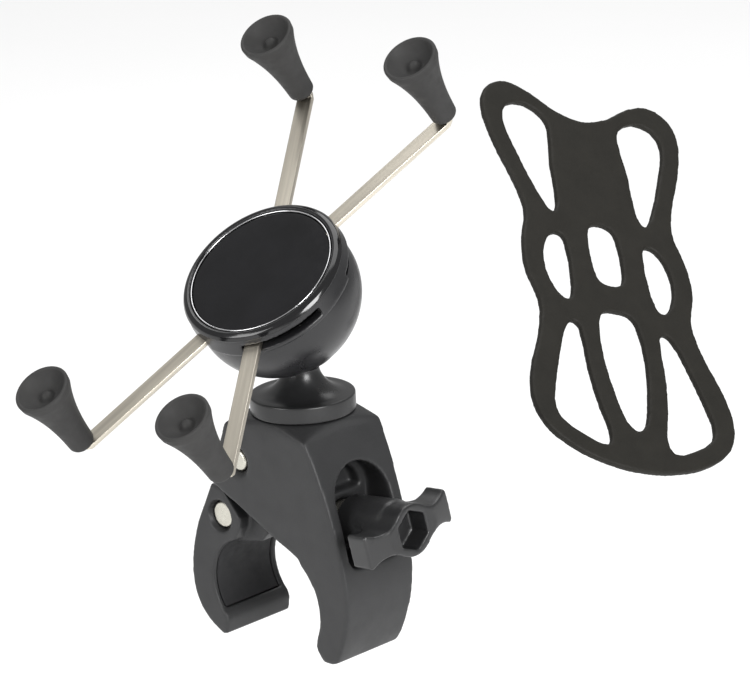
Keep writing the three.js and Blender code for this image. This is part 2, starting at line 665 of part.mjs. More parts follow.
function tether() {
  const outline = mirrored([
    [0, 0], [9, -2.4], [18, -8], [26, -10.4], [33, -7], [35.8, 0.5], [33.4, 14], [28.4, 28], [26.6, 38],
    [29.2, 48], [30, 59], [27, 71], [29.4, 83], [34, 95], [35.6, 106], [32.4, 115], [22, 122.4], [10, 126],
    [0, 126.9],
  ]);
  const shape = new THREE.Shape(smoothLoop(outline, 96).reverse());
  const earHole = [[12.6, 5], [14, 0.6], [20, -3], [26.6, -1.4], [29, 4.6], [26.4, 15], [19.6, 33], [16.6, 36.8],
    [14.4, 33], [14, 18]];
  const sideHole = [[14, 46.6], [15.6, 44.4], [19, 45.4], [22.2, 51], [22.8, 59], [20, 66.4], [17, 68.6], [14.8, 66]];
  const lowHole = [[14.2, 78], [16.4, 76], [19.4, 79], [24.4, 93], [28, 107], [26.6, 112], [19, 117], [12, 119.2],
    [10, 116], [12.6, 102], [13.8, 90]];
  for (const side of [-1, 1]) {
    shape.holes.push(loopOf(earHole, side), loopOf(sideHole, side), loopOf(lowHole, side));
  }
  const middle = [[0, 38.8], [3.6, 39.8], [5.2, 43.4], [5.2, 56.6], [3.6, 60.2], [0, 61.2]];
  const lower = [[0, 70.6], [4.6, 71.2], [6.8, 75], [7.6, 88], [5.8, 101], [3.4, 110], [0, 113]];
  shape.holes.push(new THREE.Path(smoothLoop(mirrored(middle), 20)));
  shape.holes.push(new THREE.Path(smoothLoop(mirrored(lower), 24)));
  return alongZ(shape, -TETHER_THICK / 2, TETHER_THICK / 2);
}

// ---------------------------------------------------------------- assembly
const mount = new THREE.Group();

mount.add(part('clamp_body', clampBody(), 'bodyPlastic'));
mount.add(part('fixed_jaw_pad', jawPad(0, 0, GRIP_R, -20, 43), 'padRubber'));
mount.add(part('jaw_pivot_pin', pivotPin(), 'nickel'));
mount.add(part('moving_jaw', movingJaw(), 'bodyPlastic'));
mount.add(part('moving_jaw_pad', jawPad(JAW_GRIP[0], JAW_GRIP[1], JAW_GRIP_R, 122, 218), 'padRubber'));
mount.add(part('barrel_nut', barrelNut(), 'nickel'));
mount.add(part('clamp_screw', screwRod(), 'nickel'));
mount.add(part('retaining_clip', retainingClip(), 'nickel'));
mount.add(part('swivel_seat', swivelSeat(), 'nickel'));
mount.add(part('thrust_washer', thrustWasher(), 'nickel'));
mount.add(part('knob', knob(), 'bodyPlastic'));
mount.add(part('trapped_nut', trappedNut(), 'nickel'));
mount.add(part('ball_base', ballBase(), 'bodyPlastic'));
mount.add(part('ball_cover', ballCover(), 'ballRubber'));
mount.add(part('stud_screw', studScrew(), 'nickel'));

const hub = new THREE.Group();
hub.position.set(STUD_X, 0, BALL_Z);
hub.quaternion.copy(turns([Z_AXIS, HUB_AZIMUTH], [X_AXIS, HUB_TILT], [Z_AXIS, HUB_SPIN]));
hub.add(part('friction_cup', cupShell(BALL_R + 0.3, 14.1, 38), 'tipRubber'));
hub.add(part('pressure_cup', cupShell(14.4, 15.9, 34), 'nickel'));
hub.add(part('hub_dome', hubDome(), 'hubPlastic'));
hub.add(part('hub_cover', hubCover(), 'hubPlastic'));
hub.add(part('face_label', faceLabel(), 'labelGloss'));
hub.add(part('trim_ring', trimRing(), 'ringSilver'));
hub.add(part('arm_pivot', armPivot(), 'nickel'));
hub.add(part('arm_spring', armSpring(), 'nickel'));
hub.add(part('cover_screw_left', coverScrew(-1), 'nickel'));
hub.add(part('cover_screw_right', coverScrew(1), 'nickel'));

const upperAngle = -(90 - ARM_ANGLE);
const lowerAngle = 90 - ARM_ANGLE;
hub.add(part('arm_strip_upper', armStrip(ARM_UPPER, upperAngle), 'stainless'));
hub.add(part('arm_strip_lower', armStrip(ARM_LOWER, lowerAngle), 'stainless'));
hub.add(part('grip_tip_bottom_right', gripTip(ARM_UPPER, upperAngle), 'tipRubber'));
hub.add(part('grip_tip_top_left', gripTip(ARM_UPPER, upperAngle + 180), 'tipRubber'));
hub.add(part('grip_tip_top_right', gripTip(ARM_LOWER, lowerAngle), 'tipRubber'));
hub.add(part('grip_tip_bottom_left', gripTip(ARM_LOWER, lowerAngle + 180), 'tipRubber'));
mount.add(hub);

const strap = part('tether', tether(), 'tetherRubber');
strap.position.set(...TETHER_AT);
strap.quaternion.copy(turns([Z_AXIS, -3], [Y_AXIS, 47], [Z_AXIS, 64.6]));
mount.add(strap);

export default mount;
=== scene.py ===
"""Phone handlebar mount: the fine surfaces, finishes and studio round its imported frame.

Lengths are metres in the frame's own axes: the origin on the clamped bar, Z up the ball stud,
X towards the knob and Y along the bar.
"""

import json
import math

import bmesh
import bpy
import numpy as np
from bpy.props import FloatProperty, FloatVectorProperty, IntProperty, PointerProperty
from bpy.types import Operator, Panel, PropertyGroup
from mathutils import Matrix, Vector


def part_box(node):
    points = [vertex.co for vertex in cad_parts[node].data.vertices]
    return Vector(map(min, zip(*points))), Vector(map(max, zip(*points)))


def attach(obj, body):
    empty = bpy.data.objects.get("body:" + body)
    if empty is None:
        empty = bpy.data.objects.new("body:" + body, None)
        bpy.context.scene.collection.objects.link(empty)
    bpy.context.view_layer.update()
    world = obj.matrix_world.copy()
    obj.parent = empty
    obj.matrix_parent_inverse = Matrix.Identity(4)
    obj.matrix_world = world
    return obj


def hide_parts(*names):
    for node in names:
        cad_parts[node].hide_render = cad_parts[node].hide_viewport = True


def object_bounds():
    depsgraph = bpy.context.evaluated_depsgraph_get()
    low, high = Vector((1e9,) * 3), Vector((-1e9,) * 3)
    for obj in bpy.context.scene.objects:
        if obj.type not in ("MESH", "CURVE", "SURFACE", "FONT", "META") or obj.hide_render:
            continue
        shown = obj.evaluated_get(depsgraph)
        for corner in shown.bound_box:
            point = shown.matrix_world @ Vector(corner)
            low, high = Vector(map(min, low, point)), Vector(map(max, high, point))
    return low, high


bl_info = {
    "name": "Phone Handlebar Mount",
    "version": (1, 0, 0),
    "blender": (4, 5, 0),
    "location": "3D View > Sidebar > Mount",
    "description": "Builds the visible pieces of a phone handlebar mount round its frame",
    "category": "Object",
}

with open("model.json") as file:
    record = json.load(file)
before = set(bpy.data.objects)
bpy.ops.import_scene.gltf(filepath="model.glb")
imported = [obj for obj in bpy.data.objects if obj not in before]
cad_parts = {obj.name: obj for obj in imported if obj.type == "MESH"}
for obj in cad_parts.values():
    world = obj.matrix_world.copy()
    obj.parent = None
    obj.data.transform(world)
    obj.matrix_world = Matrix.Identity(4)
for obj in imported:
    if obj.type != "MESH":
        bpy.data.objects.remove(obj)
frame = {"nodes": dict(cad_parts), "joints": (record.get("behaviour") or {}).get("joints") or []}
CAD_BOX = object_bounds()
NODES = frame["nodes"]
JOINTS = {joint["name"]: joint for joint in frame["joints"]}
MM = 0.001
FINISHES = {}


# ---------------------------------------------------------------- places taken from the frame
def centre(node):
    """Middle of a node's box at rest."""
    low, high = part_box(node)
    return (low + high) / 2


def axes_at(origin, z_axis, x_hint):
    """A 4x4 placing matrix with its Z along z_axis and its X as near x_hint as it can be."""
    z = Vector(z_axis).normalized()
    x = Vector(x_hint)
    x = (x - z * x.dot(z)).normalized()
    y = z.cross(x)
    m = Matrix((x, y, z)).transposed().to_4x4()
    m.translation = Vector(origin)
    return m


def coordinates(mesh):
    """A mesh's vertices as an array of rows."""
    co = np.empty(len(mesh.vertices) * 3)
    mesh.vertices.foreach_get("co", co)
    return co.reshape(-1, 3)


def seen_from(co, matrix):
    """Rows of points taken through a 4x4 matrix."""
    m = np.array(matrix)
    return co @ m[:3, :3].T + m[:3, 3]


def local_vertices(node, place):
    """A node's vertices seen from a placing matrix."""
    return seen_from(coordinates(NODES[node].data), place.inverted())


def lathe_size(node, place):
    """Lowest and highest point along a turned node's axis, and its largest radius."""
    co = local_vertices(node, place)
    return co[:, 2].min(), co[:, 2].max(), np.hypot(co[:, 0], co[:, 1]).max()


BALL = Vector(JOINTS["hub_spin"]["pos_m"])
HUB = axes_at(BALL, JOINTS["hub_spin"]["axis"], centre("cover_screw_right") - centre("cover_screw_left"))
STUD = axes_at(BALL, (0, 0, 1), (1, 0, 0))
SCREW = axes_at(JOINTS["knob_turn"]["pos_m"], -Vector(JOINTS["knob_turn"]["axis"]), (0, 0, 1))


# ---------------------------------------------------------------- sizes and colours a user may change
class MountSettings(PropertyGroup):
    """Sizes and colours of the mount's visible pieces"""

    small_edge: FloatProperty(
        name="Small edge", description="Rounding of small hardware", default=0.25 * MM, unit="LENGTH"
    )
    grain: FloatProperty(
        name="Grain", description="Depth of the moulded grain", default=0.05 * MM, unit="LENGTH"
    )
    turned_steps: IntProperty(
        name="Turned steps", description="Steps round a turned piece", default=128, min=24
    )
    thread_pitch: FloatProperty(
        name="Thread pitch", description="Pitch of the clamp screw", default=1.06 * MM, unit="LENGTH"
    )
    thread_depth: FloatProperty(
        name="Thread depth", description="Depth of the clamp screw's thread", default=0.3 * MM, unit="LENGTH"
    )
    body_colour: FloatVectorProperty(
        name="Body colour", description="Charcoal plastic", default=(0.0195, 0.0197, 0.0204), size=3, subtype="COLOR"
    )
    hub_colour: FloatVectorProperty(
        name="Hub colour", description="Black plastic", default=(0.010, 0.010, 0.011), size=3, subtype="COLOR"
    )
    tip_colour: FloatVectorProperty(
        name="Tip colour", description="Dark grey rubber", default=(0.032, 0.0315, 0.031), size=3, subtype="COLOR"
    )
    strip_colour: FloatVectorProperty(
        name="Strip colour", description="Stainless steel", default=(0.62, 0.575, 0.49), size=3, subtype="COLOR"
    )
    tether_colour: FloatVectorProperty(
        name="Tether colour", description="Black rubber sheet", default=(0.014, 0.0130, 0.0105), size=3, subtype="COLOR"
    )


def settings():
    """The scene's own mount settings."""
    return bpy.context.scene.mount_settings


# ---------------------------------------------------------------- materials
def new_material(name):
    """A material with its principled shader and tree to fill; the tree is None when it is made already."""
    if name in FINISHES:
        return FINISHES[name], None, None
    material = FINISHES[name] = bpy.data.materials.new(name)
    material.use_nodes = True
    tree = material.node_tree
    return material, tree, tree.nodes["Principled BSDF"]


def noise(tree, scale, detail=4.0, roughness=0.55, stretch=None, turn=None):
    """Noise on the object's own coordinates; stretch scales each axis, turn is an Euler rotation."""
    coordinates = tree.nodes.new("ShaderNodeTexCoord")
    texture = tree.nodes.new("ShaderNodeTexNoise")
    texture.inputs["Scale"].default_value = scale
    texture.inputs["Detail"].default_value = detail
    texture.inputs["Roughness"].default_value = roughness
    source = coordinates.outputs["Object"]
    if stretch is not None:
        turned = tree.nodes.new("ShaderNodeMapping")
        turned.inputs["Rotation"].default_value = turn or (0, 0, 0)
        tree.links.new(source, turned.inputs["Vector"])
        stretched = tree.nodes.new("ShaderNodeMapping")
        stretched.inputs["Scale"].default_value = stretch
        tree.links.new(turned.outputs["Vector"], stretched.inputs["Vector"])
        source = stretched.outputs["Vector"]
    tree.links.new(source, texture.inputs["Vector"])
    return texture.outputs["Fac"]


def ramp(tree, value, low, high, start=0.3, end=0.7):
    """Maps a 0 to 1 value to colours or greys between low and high."""
    node = tree.nodes.new("ShaderNodeValToRGB")
    node.color_ramp.elements[0].position = start
    node.color_ramp.elements[1].position = end
    node.color_ramp.elements[0].color = (*low, 1) if hasattr(low, "__len__") else (low, low, low, 1)
    node.color_ramp.elements[1].color = (*high, 1) if hasattr(high, "__len__") else (high, high, high, 1)
    tree.links.new(value, node.inputs["Fac"])
    return node.outputs["Color"]


def bump(tree, shader, height, distance, strength=1.0, under=None):
    """Tips the shader's normal by a height value, on top of another bump if one is given."""
    node = tree.nodes.new("ShaderNodeBump")
    node.inputs["Distance"].default_value = distance
    node.inputs["Strength"].default_value = strength
    tree.links.new(height, node.inputs["Height"])
    if under is not None:
        tree.links.new(under.outputs["Normal"], node.inputs["Normal"])
    tree.links.new(node.outputs["Normal"], shader.inputs["Normal"])
    return node


def shade(colour, factor):
    """A colour made lighter or darker by a factor."""
    return tuple(min(1.0, c * factor) for c in colour)


def moulded_plastic(name, colour, rough, grain_scale, depth, specular):
    """Spark-textured moulded plastic: a fine grain, faint flow marks and uneven sheen."""
    material, tree, shader = new_material(name)
    if tree is None:
        return material
    cloud = noise(tree, 45, 3)
    tree.links.new(ramp(tree, cloud, shade(colour, 0.93), shade(colour, 1.07)), shader.inputs["Base Color"])
    patches = noise(tree, 150, 5, 0.6)
    tree.links.new(ramp(tree, patches, rough[0], rough[1]), shader.inputs["Roughness"])
    shader.inputs["Specular IOR Level"].default_value = specular
    flow = bump(tree, shader, noise(tree, 90, 3), 0.06 * MM, 0.5)
    bump(tree, shader, noise(tree, grain_scale, 3, 0.6), depth, 0.8, flow)
    return material


def moulded_rubber(name, colour, rough, grain_scale=1800, depth=0.04 * MM):
    """Matt rubber with a dusty bloom and a fine moulded skin."""
    material, tree, shader = new_material(name)
    if tree is None:
        return material
    bloom = noise(tree, 120, 5, 0.62)
    tree.links.new(ramp(tree, bloom, shade(colour, 0.88), shade(colour, 1.12)), shader.inputs["Base Color"])
    tree.links.new(ramp(tree, noise(tree, 320, 4), rough[0], rough[1]), shader.inputs["Roughness"])
    shader.inputs["Specular IOR Level"].default_value = 0.2
    bump(tree, shader, noise(tree, grain_scale, 4, 0.6), depth, 0.7)
    return material


def brushed_metal(name, colour, stretch, turn, rough):
    """Metal with fine scratches drawn out along one direction."""
    material, tree, shader = new_material(name)
    if tree is None:
        return material
    shader.inputs["Metallic"].default_value = 1.0
    scratches = noise(tree, 900, 3, 0.6, stretch, turn)
    tree.links.new(ramp(tree, scratches, shade(colour, 0.86), shade(colour, 1.1)), shader.inputs["Base Color"])
    tree.links.new(ramp(tree, noise(tree, 500, 4, 0.6, stretch, turn), rough[0], rough[1]), shader.inputs["Roughness"])
    bump(tree, shader, scratches, 0.01 * MM, 0.6)
    return material


def plated_metal(name, colour=(0.56, 0.545, 0.48), rough=(0.2, 0.36)):
    """Plated steel: bright, with cloudy wear and pin-prick marks."""
    material, tree, shader = new_material(name)
    if tree is None:
        return material
    shader.inputs["Metallic"].default_value = 1.0
    clouds = noise(tree, 260, 5, 0.6)
    tree.links.new(ramp(tree, clouds, shade(colour, 0.9), shade(colour, 1.06)), shader.inputs["Base Color"])
    tree.links.new(ramp(tree, noise(tree, 700, 4), rough[0], rough[1]), shader.inputs["Roughness"])
    bump(tree, shader, noise(tree, 1500, 3), 0.008 * MM, 0.5)
    return material


def gloss_label():
    """Domed gloss film: near black, with the faintest ripple under a hard clear coat."""
    material, tree, shader = new_material("gloss_label")
    if tree is None:
        return material
    tint = noise(tree, 60, 2)
    tree.links.new(ramp(tree, tint, (0.004, 0.004, 0.0045), (0.007, 0.007, 0.008)), shader.inputs["Base Color"])
    tree.links.new(ramp(tree, noise(tree, 400, 4), 0.1, 0.18), shader.inputs["Roughness"])
    shader.inputs["Specular IOR Level"].default_value = 0.3
    shader.inputs["Coat Weight"].default_value = 0.05
    shader.inputs["Coat Roughness"].default_value = 0.04
    bump(tree, shader, noise(tree, 180, 2), 0.01 * MM, 0.4)
    return material


def body_plastic():
    """Textured charcoal of the clamp body and jaw."""
    return moulded_plastic(
        "charcoal_body_plastic", settings().body_colour,
        rough=(0.4, 0.54), grain_scale=2600, depth=settings().grain, specular=0.36,
    )


def knob_plastic():
    """Satin charcoal of the knob, smoother than the body."""
    colour = shade(settings().body_colour, 0.8)
    return moulded_plastic(
        "satin_knob_plastic", colour, rough=(0.28, 0.4), grain_scale=2400, depth=0.02 * MM, specular=0.5
    )


def stud_plastic():
    """Satin near-black of the ball stud."""
    colour = shade(settings().body_colour, 0.6)
    return moulded_plastic(
        "satin_stud_plastic", colour, rough=(0.26, 0.36), grain_scale=2400, depth=0.015 * MM, specular=0.42
    )


def hub_plastic():
    """Smooth black of the hub's dome and cover."""
    return moulded_plastic(
        "black_hub_plastic", settings().hub_colour,
        rough=(0.26, 0.36), grain_scale=2200, depth=0.012 * MM, specular=0.5,
    )


def gloss_bezel():
    """Polished black of the rim round the label."""
    return moulded_plastic(
        "gloss_bezel", (0.006, 0.006, 0.0065), rough=(0.1, 0.16), grain_scale=900, depth=0.004 * MM, specular=0.5
    )


def pad_rubber():
    """Black rubber of the jaw liners."""
    return moulded_rubber("jaw_pad_rubber", (0.018, 0.018, 0.019), (0.5, 0.7))


def ball_rubber():
    """Smooth rubber of the ball's skin."""
    return moulded_rubber("ball_skin_rubber", (0.02, 0.02, 0.022), (0.3, 0.45), 1600, 0.02 * MM)


def tip_rubber():
    """Dusty dark grey rubber of the grip tips."""
    return moulded_rubber("grip_tip_rubber", settings().tip_colour, (0.55, 0.72))


def tether_rubber():
    """Warm black rubber of the tether."""
    return moulded_rubber("tether_sheet_rubber", settings().tether_colour, (0.5, 0.7), 1300, 0.03 * MM)


# ---------------------------------------------------------------- mesh helpers
def finish_piece(piece, material, body, nodes):
    """Gives a piece its material and slot, stands it for its nodes and hangs it on its body."""
    piece.data.materials.clear()
    piece.data.materials.append(material)
    if nodes:
        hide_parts(*nodes)
    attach(piece, body)


def dress(nodes, material):
    """Puts a material on CAD nodes that stay as they are."""
    for node in nodes:
        for material_slot in NODES[node].material_slots:
            material_slot.material = material


def grid_mesh(name, points, place):
    """A mesh from a grid of points, rows along v and columns along u, closed round u."""
    rows, columns = points.shape[:2]
    left = np.arange(rows * columns).reshape(rows, columns)
    right = np.roll(left, -1, axis=1)
    quads = np.stack([left[:-1], right[:-1], right[1:], left[1:]], axis=-1).reshape(-1, 4)
    mesh = bpy.data.meshes.new(name)
    mesh.from_pydata(seen_from(points.reshape(-1, 3), place), [], quads)
    return mesh


def tidy_mesh(mesh, sharp=40.0):
    """Merges doubles, turns faces outwards and shades smooth up to an angle."""
    bm = bmesh.new()
    bm.from_mesh(mesh)
    bmesh.ops.remove_doubles(bm, verts=bm.verts, dist=1e-6)
    bmesh.ops.recalc_face_normals(bm, faces=bm.faces)
    bm.to_mesh(mesh)
    bm.free()
    mesh.shade_smooth()
    mesh.set_sharp_from_angle(angle=math.radians(sharp))
    return mesh


def link(name, mesh):
    """Puts a mesh in the scene as an object at the origin."""
    piece = bpy.data.objects.new(name, mesh)
    bpy.context.scene.collection.objects.link(piece)
    return piece


def rounded(profile, radii, steps=6):
    """A polyline of radius and height with its inner corners rounded.

    Each corner is replaced by a quadratic curve that starts and ends one rounding away from it:
    point(t) = (1-t)^2 start + 2t(1-t) corner + t^2 end.
    """
    p = np.array(profile, float)
    t = np.linspace(0, 1, steps)[:, None]
    pieces = [p[:1]]
    for i in range(1, len(p) - 1):
        before = p[i - 1] - p[i]
        after = p[i + 1] - p[i]
        reach = min(radii[i], 0.49 * np.linalg.norm(before), 0.49 * np.linalg.norm(after))
        if reach <= 0:
            pieces.append(p[i : i + 1])
            continue
        start = p[i] + before / np.linalg.norm(before) * reach
        end = p[i] + after / np.linalg.norm(after) * reach
        pieces.append((1 - t) ** 2 * start + 2 * t * (1 - t) * p[i] + t**2 * end)
    pieces.append(p[-1:])
    return np.concatenate(pieces)


def revolve(name, profile, place, steps=None):
    """Surface of revolution: point(u, v) = (r(v) cos u, r(v) sin u, z(v))."""
    steps = steps or settings().turned_steps
    u = np.linspace(0, 2 * np.pi, steps, endpoint=False)
    r = profile[:, 0][:, None]
    z = np.broadcast_to(profile[:, 1][:, None], (len(profile), steps))
    points = np.stack([r * np.cos(u), r * np.sin(u), z], axis=-1)
    return link(name, tidy_mesh(grid_mesh(name, points, place)))


def arc_points(cx, cz, r, start, end, steps):
    """Points of an arc in the radius and height plane, angles in degrees from the outward direction."""
    a = np.radians(np.linspace(start, end, steps))
    return np.stack([cx + r * np.cos(a), cz + r * np.sin(a)], axis=-1)


def store(mesh, co):
    """Writes vertices back to a mesh."""
    mesh.vertices.foreach_set("co", co.ravel())
    mesh.update()


def edge_pairs(mesh):
    """The two vertex numbers of every edge, as two arrays."""
    pairs = np.empty(len(mesh.edges) * 2, int)
    mesh.edges.foreach_get("vertices", pairs)
    return pairs[0::2], pairs[1::2]


def neighbour_mean(values, first, second):
    """Mean of every vertex's neighbours, for an array with one row per vertex."""
    count = len(values)
    share = np.bincount(first, minlength=count) + np.bincount(second, minlength=count)
    total = np.stack([
        np.bincount(first, values[second, k], count) + np.bincount(second, values[first, k], count)
        for k in range(values.shape[1])
    ], axis=-1)
    return total / np.maximum(share, 1)[:, None]


def relax(mesh, rounds, weight=0.5):
    """Moves each vertex towards its neighbours' mean: p' = p + weight * (mean - p), rounds times."""
    co = coordinates(mesh)
    first, second = edge_pairs(mesh)
    weight = np.broadcast_to(np.asarray(weight, float), (len(co),))[:, None]
    for _ in range(rounds):
        co = co + weight * (neighbour_mean(co, first, second) - co)
    store(mesh, co)


def away_from_edges(mesh, bend=9.0, spread=5):
    """Weight 0 on edges and 1 on open faces.

    An edge is where normals turn by more than bend degrees between neighbours, and it is widened by
    spread steps.
    """
    normals = np.empty(len(mesh.vertices) * 3)
    mesh.vertices.foreach_get("normal", normals)
    normals = normals.reshape(-1, 3)
    first, second = edge_pairs(mesh)
    turn = np.degrees(np.arccos(np.clip((normals[first] * normals[second]).sum(1), -1, 1)))
    mask = np.zeros(len(normals))
    np.maximum.at(mask, first, turn)
    np.maximum.at(mask, second, turn)
    mask = (mask > bend).astype(float)
    for _ in range(spread):
        wider = mask.copy()
        np.maximum.at(wider, first, mask[second])
        np.maximum.at(wider, second, mask[first])
        mask = wider
    soft = neighbour_mean(mask[:, None], first, second)[:, 0]
    return 1 - np.clip(np.maximum(mask * 0.999, soft), 0, 1)


def moulded_copy(node, name, grain, rounding, fairing, shape=None):
    """A merged copy of a node's mesh, rebuilt on an even grid and eased like a moulding.

    rounding relaxes everything, which rounds the edges; fairing then relaxes only the open faces,
    which runs their facets together. shape(mesh) may move vertices in between.
    """
    source = NODES[node].data.copy()
    bm = bmesh.new()
    bm.from_mesh(source)
    bmesh.ops.remove_doubles(bm, verts=bm.verts, dist=2e-6)
    bm.to_mesh(source)
    bm.free()
    block = link(name + "_block", source)
    remesh = block.modifiers.new("even grid", "REMESH")
    remesh.mode = "VOXEL"
    remesh.voxel_size = grain
    evaluated = block.evaluated_get(bpy.context.evaluated_depsgraph_get())
    mesh = bpy.data.meshes.new_from_object(evaluated)
    mesh.name = name
    bpy.data.objects.remove(block)
    bpy.data.meshes.remove(source)
    relax(mesh, 2)
    open_faces = away_from_edges(mesh)
    if shape:
        shape(mesh)
    relax(mesh, rounding)
    relax(mesh, fairing, 0.5 * open_faces)
    mesh.shade_smooth()
    return link(name, mesh)


def true_rounds(place, sides, least):
    """Returns a shape function that turns a prism of so many sides back into a round.

    A point at angle a on a side of the prism sits at r cos(pi/n) / cos(d), where d is its angle from
    the side's middle, so its radius is multiplied by cos(d) / cos(pi/n). Points nearer the axis than
    least stay.
    """
    def shape(mesh):
        co = seen_from(coordinates(mesh), place.inverted())
        r = np.hypot(co[:, 0], co[:, 1])
        step = 2 * np.pi / sides
        d = np.mod(np.arctan2(co[:, 1], co[:, 0]), step) - step / 2
        grow = np.where(r > least, np.cos(d) / np.cos(step / 2), 1.0)
        co[:, :2] *= grow[:, None]
        store(mesh, seen_from(co, place))

    return shape


def weighted_normals(mesh, crease=50.0):
    """Corner normals led by the larger faces, so flat faces stay flat beside a narrow rounded edge."""
    corners = len(mesh.loops)
    corner_vertex = np.empty(corners, int)
    mesh.loops.foreach_get("vertex_index", corner_vertex)
    faces = len(mesh.polygons)
    sizes = np.empty(faces, int)
    mesh.polygons.foreach_get("loop_total", sizes)
    area = np.empty(faces)
    mesh.polygons.foreach_get("area", area)
    normal = np.empty(faces * 3)
    mesh.polygons.foreach_get("normal", normal)
    corner_face = np.repeat(np.arange(faces), sizes)
    face_normal = normal.reshape(-1, 3)[corner_face]
    weighted = face_normal * area[corner_face][:, None]
    total = np.stack([np.bincount(corner_vertex, weighted[:, k], len(mesh.vertices)) for k in range(3)], axis=-1)
    total /= np.maximum(np.linalg.norm(total, axis=1), 1e-20)[:, None]
    smooth = total[corner_vertex]
    keep = (smooth * face_normal).sum(1) > math.cos(math.radians(crease))
    mesh.normals_split_custom_set(np.where(keep[:, None], smooth, face_normal).tolist())


def eased_copy(node, name, width, segments=3, limit=30.0):
    """A merged copy of a node's mesh with its sharp edges rounded by a narrow bevel."""
    mesh = NODES[node].data.copy()
    mesh.name = name
    bm = bmesh.new()
    bm.from_mesh(mesh)
    bmesh.ops.remove_doubles(bm, verts=bm.verts, dist=2e-6)
    bmesh.ops.dissolve_limit(bm, angle_limit=math.radians(1.2), verts=bm.verts, edges=bm.edges)
    sharp = [e for e in bm.edges if e.is_manifold and e.calc_face_angle() > math.radians(limit)]
    bmesh.ops.bevel(
        bm, geom=sharp, offset=width, offset_type="OFFSET", segments=segments, profile=0.5,
        affect="EDGES", clamp_overlap=True, loop_slide=True,
    )
    bmesh.ops.triangulate(bm, faces=[f for f in bm.faces if len(f.verts) > 4])
    bm.to_mesh(mesh)
    bm.free()
    mesh.shade_smooth()
    weighted_normals(mesh)
    return link(name, mesh)


# ---------------------------------------------------------------- operators
class MOUNT_OT_clamp_body(Operator):
    """Clamp body with softened moulded edges"""

    bl_idname = "mount.clamp_body"
    bl_label = "Clamp body"

    def execute(self, context):
        piece = moulded_copy("clamp_body", "clamp_body_shell", grain=0.42 * MM, rounding=9, fairing=50)
        finish_piece(piece, body_plastic(), "clamp", ["clamp_body"])
        return {"FINISHED"}


class MOUNT_OT_moving_jaw(Operator):
    """Moving jaw with softened moulded edges"""

    bl_idname = "mount.moving_jaw"
    bl_label = "Moving jaw"

    def execute(self, context):
        piece = moulded_copy("moving_jaw", "moving_jaw_shell", grain=0.36 * MM, rounding=8, fairing=40)
        finish_piece(piece, body_plastic(), "jaw", ["moving_jaw"])
        return {"FINISHED"}


class MOUNT_OT_jaw_pads(Operator):
    """Rubber liners of both jaws"""

    bl_idname = "mount.jaw_pads"
    bl_label = "Jaw pads"

    def execute(self, context):
        for node, body in (("fixed_jaw_pad", "clamp"), ("moving_jaw_pad", "jaw")):
            piece = moulded_copy(node, node + "_liner", grain=0.25 * MM, rounding=4, fairing=30)
            finish_piece(piece, pad_rubber(), body, [node])
        return {"FINISHED"}


class MOUNT_OT_knob(Operator):
    """Wing knob with its barrel and hex socket"""

    bl_idname = "mount.knob"
    bl_label = "Wing knob"

    def execute(self, context):
        piece = moulded_copy("knob", "wing_knob", grain=0.3 * MM, rounding=7, fairing=30)
        finish_piece(piece, knob_plastic(), "screw", ["knob"])
        return {"FINISHED"}


class MOUNT_OT_hardware(Operator):
    """Pins, nuts, washers and screws of plated steel"""

    bl_idname = "mount.hardware"
    bl_label = "Steel hardware"

    def execute(self, context):
        steel = plated_metal("plated_steel")
        for node, body in (("jaw_pivot_pin", "clamp"), ("barrel_nut", "nut")):
            piece = eased_copy(node, node + "_turned", width=settings().small_edge * 4, segments=5)
            finish_piece(piece, steel, body, [node])
        dress(
            [
                "retaining_clip", "swivel_seat", "thrust_washer", "trapped_nut", "stud_screw", "pressure_cup",
                "arm_pivot", "arm_spring", "cover_screw_left", "cover_screw_right",
            ],
            steel,
        )
        dress(["friction_cup"], pad_rubber())
        return {"FINISHED"}


class MOUNT_OT_clamp_screw(Operator):
    """Threaded clamp screw"""

    bl_idname = "mount.clamp_screw"
    bl_label = "Clamp screw"

    def execute(self, context):
        low, high, radius = lathe_size("clamp_screw", SCREW)
        pitch = settings().thread_pitch
        per_turn = 10
        rows = int((high - low) / pitch * per_turn)
        z = np.linspace(low, high, rows)[:, None]
        u = np.linspace(0, 2 * np.pi, 40, endpoint=False)[None, :]
        # radius(u, z) = crest - depth * |saw(z / pitch - u / 2 pi)|, faded out to the core at both ends
        phase = (z / pitch - u / (2 * np.pi)) % 1.0
        ridge = np.abs(2 * phase - 1)
        r = radius - settings().thread_depth * ridge
        ends = np.clip(np.minimum(z - low, high - z) / pitch, 0, 1)
        r = np.minimum(r, radius - settings().thread_depth * (1 - ends))
        r[0] = 0
        r[-1] = 0
        points = np.stack([r * np.cos(u), r * np.sin(u), np.broadcast_to(z, r.shape)], axis=-1)
        piece = link("clamp_screw_threaded", tidy_mesh(grid_mesh("clamp_screw_threaded", points, SCREW), 60))
        finish_piece(piece, plated_metal("plated_steel"), "screw", ["clamp_screw"])
        return {"FINISHED"}


